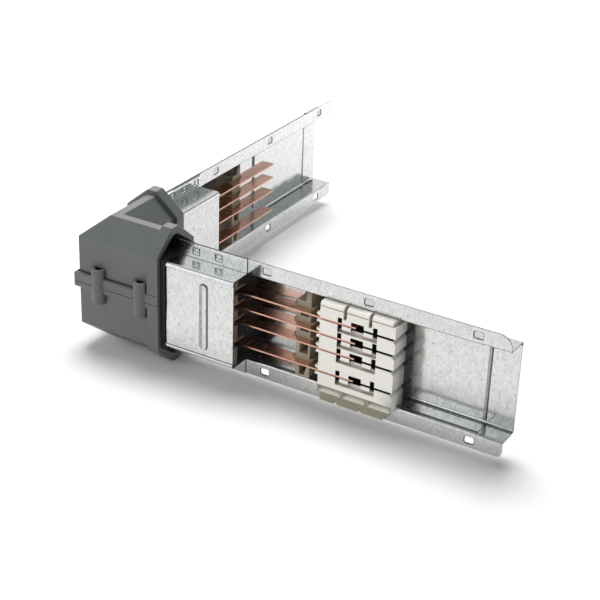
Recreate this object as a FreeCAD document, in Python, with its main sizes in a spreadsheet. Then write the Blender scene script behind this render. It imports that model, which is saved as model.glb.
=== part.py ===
import FreeCAD, Part
import math
import os
import Sketcher
from types import SimpleNamespace

# Driving sizes, millimetres. Positions along an arm are measured from the crossing of the two arm
# centre planes, heights from the lower edge of the trunking flanges.
SIZES = {
    # Sheet-steel trunking section
    "trunk_height": 97.0,
    "shell_depth": 19.5,
    "flange_height": 11.75,
    "sheet_thickness": 0.8,
    "web_band": 3.8,
    "web_step": 0.6,
    "web_bend": 2.4,
    "flange_bend": 1.2,
    # Trunking lengths
    "arm_length": 335.0,
    "shell_start": 22.0,
    "cover_a_end": 120.5,
    "cover_b_end": 114.0,
    "sleeve_length": 21.0,
    "sleeve_step": 0.5,
    "flange_corner": 4.0,
    "leading_corner": 10.0,
    # Slots through the flanges
    "slot_setback": 25.5,
    "slot_pitch": 86.0,
    "slot_length": 7.0,
    "slot_width": 5.0,
    # Pressed vertical beads
    "cover_bead_centre": 94.0,
    "cover_bead_crest": 4.6,
    "web_bead_centre": 226.0,
    "web_bead_crest": 0.8,
    "bead_height": 53.0,
    "bead_depth": 1.5,
    # Copper bars, numbered from the top
    "bar_width": 12.0,
    "bar_thickness": 1.5,
    "bar_1_level": 70.7,
    "bar_2_level": 58.0,
    "bar_3_level": 45.3,
    "bar_4_level": 26.7,
    "bar_a_end": 217.0,
    "bar_b_end": 221.0,
    # Bar carriers in the open channels
    "spacer_start": 164.0,
    "spacer_length": 12.0,
    "spacer_setback": 6.5,
    "spacer_wall": 1.6,
    "spacer_sill": 5.2,
    "tongue_overhang": 3.0,
    "tongue_thickness": 1.2,
    "tongue_corner": 2.3,
    "lug_start": 5.4,
    "lug_round": 2.4,
    "foot_slant": 3.0,
    # Combs at the mouths of the closed boxes
    "comb_length": 12.0,
    "comb_setback": 1.5,
    "comb_recess": 10.0,
    "comb_front": 8.0,
    "comb_notch": 4.5,
    "ledge_rise": 5.0,
    "ledge_thickness": 1.6,
    "ledge_reach": 9.0,
    # Joint block
    "block_centre": 218.5,
    "block_length": 62.0,
    "block_front": 6.5,
    "block_skirt": 9.5,
    "block_lip": 2.4,
    "lip_taper": 7.0,
    "lip_notch_width": 2.4,
    "lip_notch_height": 4.2,
    "rib_height": 9.5,
    "rib_round": 2.8,
    "rib_gap": 2.6,
    "rib_gap_depth": 6.0,
    "rib_end": 2.6,
    "rib_end_drop": 3.7,
    "crease_drop": 2.9,
    "crease_height": 0.7,
    "crease_depth": 0.9,
    "tab_setback": 1.0,
    "tab_reach": 3.2,
    "tab_height": 7.6,
    "tab_mouth": 4.4,
    "slot_clearance": 0.1,
    "window_width": 10.4,
    "window_height": 8.0,
    "window_depth": 12.0,
    "gate_offset": 14.5,
    "gate_width": 3.4,
    "gate_height": 10.2,
    "gate_depth": 8.0,
    "trough_height": 2.8,
    "trough_depth": 3.4,
    "lobe_cut": 4.0,
    "lobe_drop": 3.4,
    "lobe_round": 1.8,
    "foot_edge": 0.6,
    "foot_window_height": 4.4,
    "foot_window_depth": 4.4,
    # Corner housing
    "housing_wall": 2.0,
    "housing_clearance": 0.2,
    "shoulder_rise": 1.0,
    "ridge_half": 3.5,
    "ridge_rise": 4.8,
    "collar_start": 45.5,
    "collar_end": 55.5,
    "collar_half": 24.5,
    "collar_shoulder_rise": 3.5,
    "collar_ridge_half": 4.2,
    "collar_rise": 9.0,
    "rim_reach": 3.0,
    "rim_up": 8.0,
    "rim_down": 5.5,
    "rim_round": 1.8,
    "rim_groove": 1.2,
    "rim_groove_depth": 2.0,
    "seam_width": 0.6,
    "seam_depth": 0.8,
    "boss_radius": 6.0,
    "boss_stand": 0.5,
    "boss_near": -2.0,
    "boss_pitch": 40.0,
    "boss_up": 15.5,
    "boss_down": 13.5,
    "well_radius": 3.4,
    "well_depth": 9.0,
    "screw_radius": 1.6,
    # Sealing strips at the collars
    "seal_thickness": 1.0,
    "seal_start": 46.5,
    "seal_end": 59.5,
}

doc = FreeCAD.newDocument("busway_elbow")
sheet = doc.addObject("Spreadsheet::Sheet", "sizes")
for row, (name, value) in enumerate(SIZES.items(), start=1):
    sheet.set(f"A{row}", name)
    sheet.set(f"B{row}", str(value))
    sheet.setAlias(f"B{row}", name)
doc.recompute()


class Size:
    """A length that carries the spreadsheet expression it comes from."""

    def __init__(self, text, value):
        self.text = text
        self.value = value

    def __add__(self, other):
        other = as_size(other)
        return Size(f"({self.text} + {other.text})", self.value + other.value)

    def __sub__(self, other):
        other = as_size(other)
        return Size(f"({self.text} - {other.text})", self.value - other.value)

    def __mul__(self, factor):
        return Size(f"({self.text} * {factor})", self.value * factor)

    def __truediv__(self, divisor):
        return Size(f"({self.text} / {divisor})", self.value / divisor)

    def __neg__(self):
        return self * -1


def as_size(number):
    return number if isinstance(number, Size) else Size(str(float(number)), float(number))


s = SimpleNamespace(**{name: Size(f"sizes.{name}", value) for name, value in SIZES.items()})

# Sizes that several pieces share
wall_low = s.flange_height
wall_top = s.trunk_height - s.flange_height
inner_low = wall_low + s.sheet_thickness
inner_top = wall_top - s.sheet_thickness
inner_web = s.shell_depth - s.web_step - s.sheet_thickness
web_bend_inside = s.web_bend - s.sheet_thickness
flange_bend_inside = s.flange_bend - s.sheet_thickness
middle = s.trunk_height / 2
bar_half = s.bar_width / 2
bar_levels = [s.bar_1_level, s.bar_2_level, s.bar_3_level, s.bar_4_level]
housing_half = s.shell_depth + s.housing_wall
boss_seat = housing_half + s.boss_stand
boss_outer = boss_seat + s.boss_radius
centre_offset = (s.arm_length - boss_outer) / 2
ARC = "arc"
SLOTS_PER_FLANGE = 3
BEAD_SLOPE = 30


def pin(sketch, geometry, end, kind, size):
    """Hold one coordinate of a sketch point at a size."""
    size = as_size(size)
    if abs(size.value) < 1e-9:
        axis = -2 if kind == "DistanceX" else -1
        sketch.addConstraint(Sketcher.Constraint("PointOnObject", geometry, end, axis))
        return
    ends = (-1, 1, geometry, end) if size.value > 0 else (geometry, end, -1, 1)
    index = sketch.addConstraint(Sketcher.Constraint(kind, *ends, abs(size.value)))
    sketch.setExpression(f"Constraints[{index}]", (size if size.value > 0 else -size).text)


def trace(sketch, points):
    """Draw one closed outline. A point's third item makes the edge that leaves it round: ARC for a
    half circle turning left, or the centre of a quarter round."""
    count = len(points)
    first = sketch.GeometryCount
    places = [FreeCAD.Vector(as_size(p[0]).value, as_size(p[1]).value, 0) for p in points]
    ends = []
    for index, point in enumerate(points):
        start, end = places[index], places[(index + 1) % count]
        if len(point) == 2:
            sketch.addGeometry(Part.LineSegment(start, end))
            ends.append((1, 2))
            continue
        if point[2] == ARC:
            centre = (start + end) / 2
        else:
            centre = FreeCAD.Vector(point[2][0].value, point[2][1].value, 0)
        leftward = point[2] == ARC or (start - centre).cross(end - centre).z > 0
        low, high = (
            math.atan2(p.y - centre.y, p.x - centre.x)
            for p in ((start, end) if leftward else (end, start))
        )
        circle = Part.Circle(centre, FreeCAD.Vector(0, 0, 1), start.distanceToPoint(centre))
        sketch.addGeometry(Part.ArcOfCircle(circle, low, high if high > low else high + 2 * math.pi))
        ends.append((1, 2) if leftward else (2, 1))
    for index, point in enumerate(points):
        here, after = index, (index + 1) % count
        sketch.addConstraint(
            Sketcher.Constraint("Coincident", first + here, ends[here][1], first + after, ends[after][0])
        )
        pin(sketch, first + here, ends[here][0], "DistanceX", point[0])
        pin(sketch, first + here, ends[here][0], "DistanceY", point[1])
        if len(point) == 3 and point[2] == ARC:
            upright = abs(places[here].x - places[after].x) < 1e-6
            across = ("DistanceX", point[0]) if upright else ("DistanceY", point[1])
            pin(sketch, first + here, 3, *across)
        elif len(point) == 3:
            pin(sketch, first + here, 3, "DistanceX", point[2][0])


def soften(points):
    """Turn each corner that has a radius into a quarter round. Its two edges run along the axes."""
    outline = []
    for index, (x, y, *radius) in enumerate(points):
        if not radius:
            outline.append((x, y))
            continue
        tangents = []
        centre_x, centre_y = x, y
        for neighbour in (points[index - 1], points[(index + 1) % len(points)]):
            step_x, step_y = (
                radius[0] * sign(as_size(theirs).value - as_size(own).value)
                for theirs, own in zip(neighbour, (x, y))
            )
            tangents.append((step_x + x, step_y + y))
            centre_x, centre_y = step_x + centre_x, step_y + centre_y
        outline += [(*tangents[0], (centre_x, centre_y)), tangents[1]]
    return outline


def sign(number):
    return (number > 1e-9) - (number < -1e-9)


def box(x_low, x_high, y_low, y_high):
    return [(x_low, y_low), (x_high, y_low), (x_high, y_high), (x_low, y_high)]


def rounded_box(x_low, x_high, y_low, y_high, radius):
    return soften([(x, y, radius) for x, y in box(x_low, x_high, y_low, y_high)])


def obround(x, y, length, width):
    reach, rise = (length - width) / 2, width / 2
    return [
        (x - reach, y - rise),
        (x + reach, y - rise, ARC),
        (x + reach, y + rise),
        (x - reach, y + rise, ARC),
    ]


def upright_obround(x, y, width, height):
    half, reach = width / 2, (height - width) / 2
    return [
        (x + half, y - reach),
        (x + half, y + reach, ARC),
        (x - half, y + reach),
        (x - half, y - reach, ARC),
    ]


def disc(x, y, radius):
    return [(x - radius, y, ARC), (x + radius, y, ARC)]


def mirrored(points, centre):
    """The outline turned over the level of a height."""
    return [(x, centre * 2 - y) for x, y in points]


def new_body(label, turned=False):
    """A body placed so that the row's origin is under the middle of the whole elbow."""
    body = doc.addObject("PartDesign::Body", label)
    body.Label = label
    if turned:
        body.Placement = FreeCAD.Placement(
            FreeCAD.Vector(), FreeCAD.Rotation(FreeCAD.Vector(0, 0, 1), 90)
        )
    body.setExpression("Placement.Base.x", (-centre_offset).text)
    body.setExpression("Placement.Base.y", (-centre_offset).text)
    body.setExpression("Placement.Base.z", s.collar_rise.text)
    return body


def sketch_on(body, plane, offset):
    """A sketch on an origin plane of the body, moved along that plane's axis."""
    sketch = body.newObject("Sketcher::SketchObject", "outline")
    base = next(item for item in body.Origin.OriginFeatures if item.Role == plane)
    sketch.AttachmentSupport = [(base, "")]
    sketch.MapMode = "FlatFace"
    offset = as_size(offset)
    sketch.setExpression(
        "AttachmentOffset.Base.z", (-offset if plane == "XZ_Plane" else offset).text
    )
    return sketch


def prism(body, kind, plane, low, high, *outlines):
    """Add or cut the outlines between two stations on the axis the plane faces."""
    sketch = sketch_on(body, plane, low)
    for outline in outlines:
        trace(sketch, outline)
    feature = body.newObject(f"PartDesign::{kind}", kind.lower())
    feature.Profile = sketch
    feature.setExpression("Length", (as_size(high) - low).text)
    feature.Reversed = (plane == "XZ_Plane") == (kind == "Pad")
    doc.recompute()
    return feature


def round_edges(body, radius, wanted):
    """Fillet the edges of the body so far whose two end points pass the test."""
    tip = body.Tip
    names = []
    for index, edge in enumerate(tip.Shape.Edges, start=1):
        ends = [vertex.Point for vertex in edge.Vertexes]
        if len(ends) == 2 and wanted(*ends):
            names.append(f"Edge{index}")
    fillet = body.newObject("PartDesign::Fillet", "fillet")
    fillet.Base = (tip, names)
    fillet.setExpression("Radius", radius.text)
    doc.recompute()


def near(value, size):
    return abs(value - size.value) < 1e-4


# Half shells of the trunking
def shell_outline(side, spread):
    """Hat section of one half shell: flanges on the centre plane, web at the given side."""
    depth = s.shell_depth + spread
    low, top = wall_low - spread, wall_top + spread
    sheet_t, band, step = s.sheet_thickness, s.web_band, s.web_step
    points = [
        (0, 0),
        (sheet_t, 0),
        (sheet_t, low, flange_bend_inside),
        (depth, low, s.web_bend),
        (depth, low + band),
        (depth - step, low + band),
        (depth - step, top - band),
        (depth, top - band),
        (depth, top, s.web_bend),
        (sheet_t, top, flange_bend_inside),
        (sheet_t, s.trunk_height),
        (0, s.trunk_height),
        (0, top - sheet_t, s.flange_bend),
        (depth - sheet_t, top - sheet_t, web_bend_inside),
        (depth - sheet_t, top - band + sheet_t),
        (depth - step - sheet_t, top - band + sheet_t),
        (depth - step - sheet_t, low + band - sheet_t),
        (depth - sheet_t, low + band - sheet_t),
        (depth - sheet_t, low + sheet_t, web_bend_inside),
        (0, low + sheet_t, s.flange_bend),
    ]
    return soften([(as_size(y) * side, z, *radius) for y, z, *radius in points])


def press_bead(body, centre, crest, raised, hollow):
    """Press a vertical bead with sloping flanks into the web, one sheet thick: raised from one face of
    the web and hollow behind it."""
    for kind, face, grown in (
        ("Pad", raised, s.sheet_thickness * 2),
        ("Pocket", hollow, as_size(0)),
    ):
        bead = prism(
            body, kind, "XZ_Plane", face - s.bead_depth, face,
            upright_obround(centre, middle, crest + grown, s.bead_height + grown),
        )
        bead.TaperAngle = BEAD_SLOPE
    doc.recompute()


def long_shell(label, turned, top_corner):
    """The half shell that runs to the end of the arm, with its slots and widened end sleeve."""
    body = new_body(label, turned)
    sleeve = s.arm_length - s.sleeve_length
    prism(body, "Pad", "YZ_Plane", s.shell_start, sleeve, shell_outline(1, as_size(0)))
    outer = s.shell_depth - s.web_step
    press_bead(body, s.web_bead_centre, s.web_bead_crest, outer - s.sheet_thickness, outer)
    prism(body, "Pad", "YZ_Plane", sleeve, s.arm_length, shell_outline(1, s.sleeve_step))
    levels = [s.flange_height / 2, s.trunk_height - s.flange_height / 2]
    last_slot = s.arm_length - s.slot_setback
    slots = [
        obround(last_slot - s.slot_pitch * step, level, s.slot_length, s.slot_width)
        for step in range(SLOTS_PER_FLANGE)
        for level in levels
    ]
    prism(body, "Pocket", "XZ_Plane", 0, s.sheet_thickness, *slots)
    for level, radius in ((as_size(0), s.flange_corner), (s.trunk_height, top_corner)):
        round_edges(
            body, radius,
            lambda a, b: all(near(p.x, s.arm_length) and near(p.z, level) for p in (a, b)),
        )


def short_cover(label, end, turned, beaded):
    """The short half shell that closes the box beside the corner housing."""
    body = new_body(label, turned)
    prism(body, "Pad", "YZ_Plane", s.shell_start, end, shell_outline(-1, as_size(0)))
    if beaded:
        outer = s.web_step - s.shell_depth
        press_bead(
            body, s.cover_bead_centre, s.cover_bead_crest, outer, outer + s.sheet_thickness
        )


long_shell("arm_a_long_shell", False, s.leading_corner)
short_cover("arm_a_cover", s.cover_a_end, False, True)
long_shell("arm_b_long_shell", True, s.flange_corner)
short_cover("arm_b_cover", s.cover_b_end, True, False)

# Copper bars, one L-shaped flat strip at each level
for number, level in enumerate(bar_levels, start=1):
    bar = new_body(f"busbar_{number}")
    half = s.bar_thickness / 2
    prism(
        bar, "Pad", "XY_Plane", level - half, level + half,
        [
            (-bar_half, -bar_half),
            (s.bar_a_end, -bar_half),
            (s.bar_a_end, bar_half),
            (bar_half, bar_half),
            (bar_half, s.bar_b_end),
            (-bar_half, s.bar_b_end),
        ],
    )


def cells():
    """Height ranges left between the channel walls and the bars, from the top down."""
    half = s.bar_thickness / 2
    tops = [inner_top] + [level - half for level in bar_levels]
    lows = [level + half for level in bar_levels] + [inner_low]
    return list(zip(lows, tops))


# Bar carriers in the open channels
def bar_spacer(label, turned):
    """A moulded carrier: hollow stand-offs between the bars, each on a thin rounded tongue."""
    body = new_body(label, turned)
    start, end = s.spacer_start, s.spacer_start + s.spacer_length
    front = s.spacer_setback - bar_half
    half = s.bar_thickness / 2
    prism(
        body, "Pad", "YZ_Plane", start, end,
        soften([
            (front, inner_low),
            (inner_web, inner_low, web_bend_inside),
            (inner_web, inner_top, web_bend_inside),
            (front, inner_top),
        ]),
    )
    tongues = [box(front, bar_half, low, low + s.tongue_thickness) for low, top in cells()[:4]]
    prism(
        body, "Pad", "YZ_Plane", start - s.tongue_overhang, end + s.tongue_overhang, *tongues
    )

    def on_tongue(a, b):
        tips = (start - s.tongue_overhang, end + s.tongue_overhang)
        return any(all(near(p.x, tip) and near(p.y, front) for p in (a, b)) for tip in tips)

    round_edges(body, s.tongue_corner, on_tongue)
    gaps = [box(front, bar_half, level - half, level + half) for level in bar_levels]
    prism(
        body, "Pocket", "YZ_Plane", start - s.tongue_overhang, end + s.tongue_overhang, *gaps
    )
    # One window in each stand-off: the top one is open and leaves a lug, the bottom one a slanted leg
    lug = start + s.lug_start
    windows = []
    for index, (low, top) in enumerate(cells()):
        foot, head = low + s.spacer_sill, top - s.spacer_wall
        left, right, slant = start + s.spacer_wall * 2, end - s.spacer_wall, 0
        if index == 0:
            left, right, head = start, lug, top
        elif index == len(bar_levels):
            foot, slant = low + s.spacer_wall, s.foot_slant
        windows.append([(left, foot), (right - slant, foot), (right, head), (left, head)])
    prism(body, "Pocket", "XZ_Plane", front, inner_web - s.spacer_wall * 2, *windows)

    def on_lug(a, b):
        return all(near(p.x, lug) and near(p.y, front) for p in (a, b))

    round_edges(body, s.lug_round, on_lug)


bar_spacer("arm_a_bar_spacer", False)
bar_spacer("arm_b_bar_spacer", True)


def mouth_comb(label, cover_end, turned):
    """A moulded comb in the mouth of the closed box: a front strip with a short ledge over each bar,
    on a back plate that the bars pass through."""
    body = new_body(label, turned)
    end = cover_end - s.comb_setback
    start = end - s.comb_length
    half = s.bar_thickness / 2
    prism(
        body, "Pad", "YZ_Plane", start, end,
        rounded_box(-inner_web, inner_web, inner_low, inner_top, web_bend_inside),
    )
    gaps = [box(-bar_half, bar_half, level - half, level + half) for level in bar_levels]
    prism(body, "Pocket", "YZ_Plane", start, end, *gaps)
    strip = s.comb_front - inner_web
    ledges = [level + s.ledge_rise for level in bar_levels]
    lows = [ledge + s.ledge_thickness for ledge in ledges] + [inner_low]
    recesses = [
        box(strip, inner_web, low, top) for low, top in zip(lows, [inner_top] + ledges)
    ]
    prism(body, "Pocket", "YZ_Plane", end - s.comb_recess, end, *recesses)
    prism(
        body, "Pocket", "YZ_Plane", end - s.comb_recess, end,
        box(strip + s.ledge_reach, inner_web, inner_low, inner_top),
    )
    notches = [
        box(strip - s.comb_notch, strip, level + half, ledge)
        for level, ledge in zip(bar_levels, ledges)
    ]
    prism(body, "Pocket", "YZ_Plane", end - s.comb_recess, end, *notches)


mouth_comb("arm_a_mouth_comb", s.cover_a_end, False)
mouth_comb("arm_b_mouth_comb", s.cover_b_end, True)


# Joint block that clamps the bar ends of two neighbouring lengths
def joint_block():
    body = new_body("joint_block")
    left = s.block_centre - s.block_length / 2
    right = s.block_centre + s.block_length / 2
    front = -s.block_front
    half = s.bar_thickness / 2 + s.slot_clearance
    rib_foot = inner_top - s.rib_height
    prism(
        body, "Pad", "YZ_Plane", left, right,
        soften([
            (front, s.block_skirt),
            (0, s.block_skirt),
            (0, inner_low),
            (inner_web, inner_low, web_bend_inside),
            (inner_web, inner_top, web_bend_inside),
            (front, inner_top, s.rib_round),
        ]),
    )
    tabs = [
        box(front + s.tab_setback, inner_web, level - s.tab_height / 2, level + s.tab_height / 2)
        for level in bar_levels
    ]
    prism(body, "Pad", "YZ_Plane", left - s.tab_reach, left, *tabs)
    # Lip that hangs in front of the lower flange, its far end cut back
    prism(
        body, "Pad", "XZ_Plane", -s.block_lip, 0,
        [(left, 0), (right - s.lip_taper, 0), (right, s.block_skirt), (left, s.block_skirt)],
    )
    third = s.block_length / 3
    notches = []
    for step in range(3):
        notch = left + third * (step + 1) - s.lip_taper
        reach = s.lip_notch_width / 2
        notches.append([(notch - reach, 0), (notch + reach, 0), (notch, s.lip_notch_height)])
    prism(body, "Pocket", "XZ_Plane", -s.block_lip, 0, *notches)
    slots = [
        box(front, bar_half + s.slot_clearance, level - half, level + half) for level in bar_levels
    ]
    prism(body, "Pocket", "YZ_Plane", left - s.tab_reach, right, *slots)
    # Flared mouths of the bar slots: a vee in each tab, and a ramp between rounded lobes at the far end
    mouths = []
    for level in bar_levels:
        flare, tip = s.tab_mouth / 2, left - s.tab_reach
        mouths.append([(tip, level - flare), (tip + s.tab_mouth, level), (tip, level + flare)])
        mouths.append([
            (right - s.lobe_cut, level + half),
            (right, level - s.lobe_drop),
            (right, level + half),
        ])
    prism(body, "Pocket", "XZ_Plane", front, inner_web, *mouths)
    lobe_tips = [level - s.lobe_drop for level in bar_levels]

    def on_lobe(a, b):
        return any(all(near(p.x, right) and near(p.z, tip) for p in (a, b)) for tip in lobe_tips)

    round_edges(body, s.lobe_round, on_lobe)
    windows, gates, troughs = [], [], []
    for level in bar_levels:
        reach, rise = s.window_width / 2, s.window_height / 2
        windows.append(
            box(s.block_centre - reach, s.block_centre + reach, level - rise, level + rise)
        )
        for way in (-1, 1):
            gate = s.block_centre + s.gate_offset * way
            gates.append(
                box(
                    gate - s.gate_width / 2, gate + s.gate_width / 2,
                    level - s.gate_height / 2, level + s.gate_height / 2,
                )
            )
        trough_top = level - s.window_height / 2
        trough_reach = s.gate_offset + s.gate_width / 2
        troughs.append(
            box(
                s.block_centre - trough_reach, s.block_centre + trough_reach,
                trough_top - s.trough_height, trough_top,
            )
        )
    prism(body, "Pocket", "XZ_Plane", front, front + s.window_depth, *windows)
    prism(body, "Pocket", "XZ_Plane", front, front + s.gate_depth, *gates)
    prism(body, "Pocket", "XZ_Plane", front, front + s.trough_depth, *troughs)
    rib_gaps = [
        box(
            left + third * step - s.rib_gap / 2, left + third * step + s.rib_gap / 2,
            rib_foot, inner_top,
        )
        for step in (1, 2)
    ]
    prism(body, "Pocket", "XZ_Plane", front, front + s.rib_gap_depth, *rib_gaps)
    prism(
        body, "Pocket", "XZ_Plane", front, inner_web,
        box(right - s.rib_end, right, inner_top - s.rib_end_drop, inner_top),
    )
    crease = inner_top - s.crease_drop
    prism(
        body, "Pocket", "XZ_Plane", front, front + s.crease_depth,
        box(left, right, crease - s.crease_height, crease),
    )
    # Undercut feet, each with a sloping sill
    foot = s.block_skirt + s.foot_edge
    for step in range(3):
        prism(
            body, "Pocket", "YZ_Plane",
            left + third * step + s.rib_gap / 2, left + third * (step + 1) - s.rib_gap / 2,
            [
                (front, foot),
                (front + s.foot_window_depth, foot + s.foot_window_height),
                (front, foot + s.foot_window_height),
            ],
        )


joint_block()


# Corner housing, an upper and a lower moulding that meet at mid height
def roof(half, shoulder, ridge, top):
    """The outline of a gable from the parting level up, one side to the other."""
    return [
        (half, middle),
        (half, shoulder),
        (ridge, top),
        (-ridge, top),
        (-half, shoulder),
        (-half, middle),
    ]


def ring(outer, inner, upper):
    points = outer + inner[::-1]
    return points if upper else mirrored(points, middle)


def housing(label, upper):
    body = new_body(label)
    inner_roof = roof(
        s.shell_depth, wall_top + s.housing_clearance, s.ridge_half - s.housing_wall / 2,
        s.trunk_height + s.ridge_rise - s.housing_wall,
    )
    outer_roof = roof(
        housing_half, wall_top + s.shoulder_rise, s.ridge_half, s.trunk_height + s.ridge_rise
    )
    # The gable section swept round the corner with a mitre, so that hips and valley form
    section = sketch_on(body, "YZ_Plane", s.collar_start)
    trace(section, ring(outer_roof, inner_roof, upper))
    path = sketch_on(body, "XY_Plane", middle)
    run = s.collar_start
    path.addGeometry(Part.LineSegment(FreeCAD.Vector(run.value, 0, 0), FreeCAD.Vector(0, 0, 0)))
    path.addGeometry(Part.LineSegment(FreeCAD.Vector(0, 0, 0), FreeCAD.Vector(0, run.value, 0)))
    path.addConstraint(Sketcher.Constraint("Coincident", 0, 2, 1, 1))
    path.addConstraint(Sketcher.Constraint("Coincident", 0, 2, -1, 1))
    for geometry, end, kind in ((0, 1, "DistanceX"), (1, 2, "DistanceY")):
        pin(path, geometry, end, kind, run)
        pin(path, geometry, end, "DistanceY" if kind == "DistanceX" else "DistanceX", 0)
    sweep = body.newObject("PartDesign::AdditivePipe", "sweep")
    sweep.Profile = section
    sweep.Spine = (path, ["Edge1", "Edge2"])
    sweep.Transition = "Right corner"
    doc.recompute()
    # Collars round the two arms
    collar_mouth = roof(
        s.shell_depth + s.seal_thickness, wall_top + s.seal_thickness,
        s.ridge_half - s.housing_wall / 2, s.trunk_height + s.ridge_rise - s.housing_wall,
    )
    collar_roof = roof(
        s.collar_half, wall_top + s.collar_shoulder_rise, s.collar_ridge_half,
        s.trunk_height + s.collar_rise,
    )
    for plane in ("YZ_Plane", "XZ_Plane"):
        prism(
            body, "Pad", plane, s.collar_start, s.collar_end,
            ring(collar_roof, collar_mouth, upper),
        )
    # Parting rim on the two outer faces and the screw bosses that straddle it
    rim = housing_half + s.rim_reach
    inside = housing_half - s.housing_wall / 2
    rim_outline = [
        (-rim, -rim),
        (s.collar_start, -rim),
        (s.collar_start, -inside),
        (-inside, -inside),
        (-inside, s.collar_start),
        (-rim, s.collar_start),
    ]
    # Strips along the two outer faces: the gap behind the rim, and the seam between the mouldings
    def strip(outer, inner, end):
        return [
            (-outer, -outer),
            (end, -outer),
            (end, -inner),
            (-inner, -inner),
            (-inner, end),
            (-outer, end),
        ]

    bosses, wells, screws = [], [], []
    for step in range(2):
        along = s.boss_near + s.boss_pitch * step
        low, high = along - s.boss_radius, along + s.boss_radius
        bosses.append([(low, -inside), (low, -boss_seat, ARC), (high, -boss_seat), (high, -inside)])
        bosses.append([(-inside, low), (-inside, high), (-boss_seat, high, ARC), (-boss_seat, low)])
        for x, y in ((along, -boss_seat), (-boss_seat, along)):
            wells.append(disc(x, y, s.well_radius))
            screws.append(disc(x, y, s.screw_radius))
    rim_edge = middle + s.rim_up if upper else middle - s.rim_down

    def on_rim(a, b):
        return all(near(p.z, rim_edge) for p in (a, b)) and any(
            all(near(value, -rim) for value in pair) for pair in ((a.x, b.x), (a.y, b.y))
        )

    if upper:
        prism(body, "Pad", "XY_Plane", middle, rim_edge, rim_outline)
        round_edges(body, s.rim_round, on_rim)
        prism(
            body, "Pocket", "XY_Plane", rim_edge - s.rim_groove_depth, rim_edge,
            strip(housing_half + s.rim_groove, housing_half, s.collar_start),
        )
        scored = s.seam_depth - s.collar_half
        prism(
            body, "Pocket", "XY_Plane", rim_edge - s.seam_width, rim_edge,
            box(s.collar_start, s.collar_end, -s.collar_half, scored),
            box(-s.collar_half, scored, s.collar_start, s.collar_end),
        )
        for outline in bosses:
            prism(body, "Pad", "XY_Plane", middle, middle + s.boss_up, outline)
        top = middle + s.boss_up
        prism(body, "Pocket", "XY_Plane", top - s.well_depth, top, *wells)
        prism(body, "Pocket", "XY_Plane", middle, top, *screws)
    else:
        prism(body, "Pad", "XY_Plane", rim_edge, middle, rim_outline)
        round_edges(body, s.rim_round, on_rim)
        prism(
            body, "Pocket", "XY_Plane", middle - s.seam_width, middle,
            strip(rim, rim - s.seam_depth, s.collar_end),
        )
        for outline in bosses:
            prism(body, "Pad", "XY_Plane", middle - s.boss_down, middle, outline)
        prism(body, "Pocket", "XY_Plane", middle - s.well_depth, middle, *screws)


housing("corner_housing_upper", True)
housing("corner_housing_lower", False)


# Sealing strips wrapped round the box where it leaves the collar
def seal(label, side, turned):
    body = new_body(label, turned)
    inner, outer = s.shell_depth, s.shell_depth + s.seal_thickness
    flange = s.sheet_thickness + flange_bend_inside
    points = [
        (flange, wall_low - s.seal_thickness),
        (outer, wall_low - s.seal_thickness),
        (outer, wall_top + s.seal_thickness),
        (flange, wall_top + s.seal_thickness),
        (flange, wall_top),
        (inner, wall_top),
        (inner, wall_low),
        (flange, wall_low),
    ]
    prism(
        body, "Pad", "YZ_Plane", s.seal_start, s.seal_end, [(y * side, z) for y, z in points]
    )


seal("arm_a_seal_front", -1, False)
seal("arm_a_seal_back", 1, False)
seal("arm_b_seal_inner", -1, True)
seal("arm_b_seal_outer", 1, True)

doc.recompute()
os.makedirs("parts", exist_ok=True)
for item in doc.Objects:
    if "Invalid" in item.State or "Error" in item.State:
        raise RuntimeError(f"{item.Label} did not build: {item.State}")
for body in doc.findObjects("PartDesign::Body"):
    shape = body.Shape
    if shape.isNull() or not shape.isValid() or len(shape.Solids) != 1:
        raise RuntimeError(f"{body.Label} is not one valid solid")
    shape.exportStep(f"parts/{body.Label}.step")
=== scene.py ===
import math

import bmesh
import bpy
from bpy.props import FloatProperty, FloatVectorProperty, PointerProperty
from bpy.types import Operator, Panel, PropertyGroup
from mathutils import Matrix, Vector, noise


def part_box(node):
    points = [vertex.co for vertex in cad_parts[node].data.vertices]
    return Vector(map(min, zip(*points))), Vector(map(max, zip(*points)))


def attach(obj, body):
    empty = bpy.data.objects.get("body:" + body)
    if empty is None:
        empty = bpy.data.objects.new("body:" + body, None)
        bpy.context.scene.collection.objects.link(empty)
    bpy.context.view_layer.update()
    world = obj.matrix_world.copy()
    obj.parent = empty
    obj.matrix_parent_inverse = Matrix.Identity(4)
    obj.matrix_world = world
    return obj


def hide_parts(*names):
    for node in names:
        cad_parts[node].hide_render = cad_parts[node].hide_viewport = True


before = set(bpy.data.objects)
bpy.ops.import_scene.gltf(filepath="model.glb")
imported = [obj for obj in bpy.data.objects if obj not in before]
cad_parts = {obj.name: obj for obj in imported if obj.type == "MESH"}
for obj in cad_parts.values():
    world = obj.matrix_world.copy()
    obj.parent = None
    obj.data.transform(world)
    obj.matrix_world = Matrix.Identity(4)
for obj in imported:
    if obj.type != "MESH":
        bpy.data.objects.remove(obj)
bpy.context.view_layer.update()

bl_info = {
    "name": "Busway elbow finish",
    "version": (1, 0, 0),
    "blender": (4, 5, 0),
    "location": "3D View > Sidebar > Elbow",
    "description": "Gives the solids of a busway elbow their softened edges, pressed marks and finishes",
    "category": "Object",
}

MM = 0.001

# Crossing of the two arm centre planes at the lower flange edge, and each arm's own frame
CROSSING = Vector((
    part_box("arm_b_long_shell")[1].x,
    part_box("arm_a_long_shell")[0].y,
    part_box("arm_a_long_shell")[0].z,
))
ARMS = {
    "a": Matrix.Translation(CROSSING),
    "b": Matrix.Translation(CROSSING) @ Matrix.Rotation(math.radians(90), 4, "Z"),
}

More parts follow.
